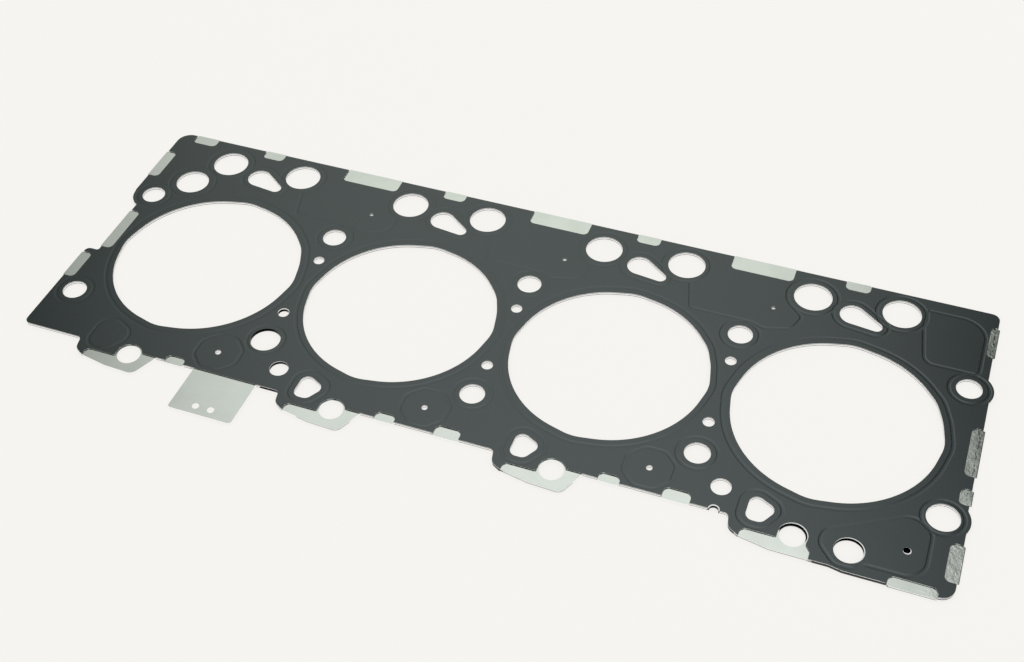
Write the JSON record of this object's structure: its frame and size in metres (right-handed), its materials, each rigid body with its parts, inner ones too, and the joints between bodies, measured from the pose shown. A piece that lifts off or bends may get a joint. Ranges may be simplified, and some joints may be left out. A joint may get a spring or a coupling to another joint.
{
  "type": "cylinder head gasket",
  "caption": "Multi-layer steel cylinder head gasket with beaded coated sheets either side of a bare steel spacer, open bores, bolt, pushrod and fluid holes, and a marking tab.",
  "frame": {"origin": "midway along the row of bores, on the crank-side plane that the lower sheet rests on", "axes": "+X along the row of bores, from the end with the marking tab; +Y across it towards the pushrod side; +Z towards the cylinder head"},
  "size_m": [0.5068, 0.2059, 0.0019],
  "materials": {
    "coated_upper": "satin dark grey elastomer coating on steel",
    "bare_steel": "bare rolled stainless steel",
    "coated_lower": "black elastomer coating on steel"
  },
  "bodies": {
    "root": {"upper_layer": "coated_upper", "bare_spacer": "bare_steel", "lower_layer": "coated_lower"}
  },
  "joints": []
}
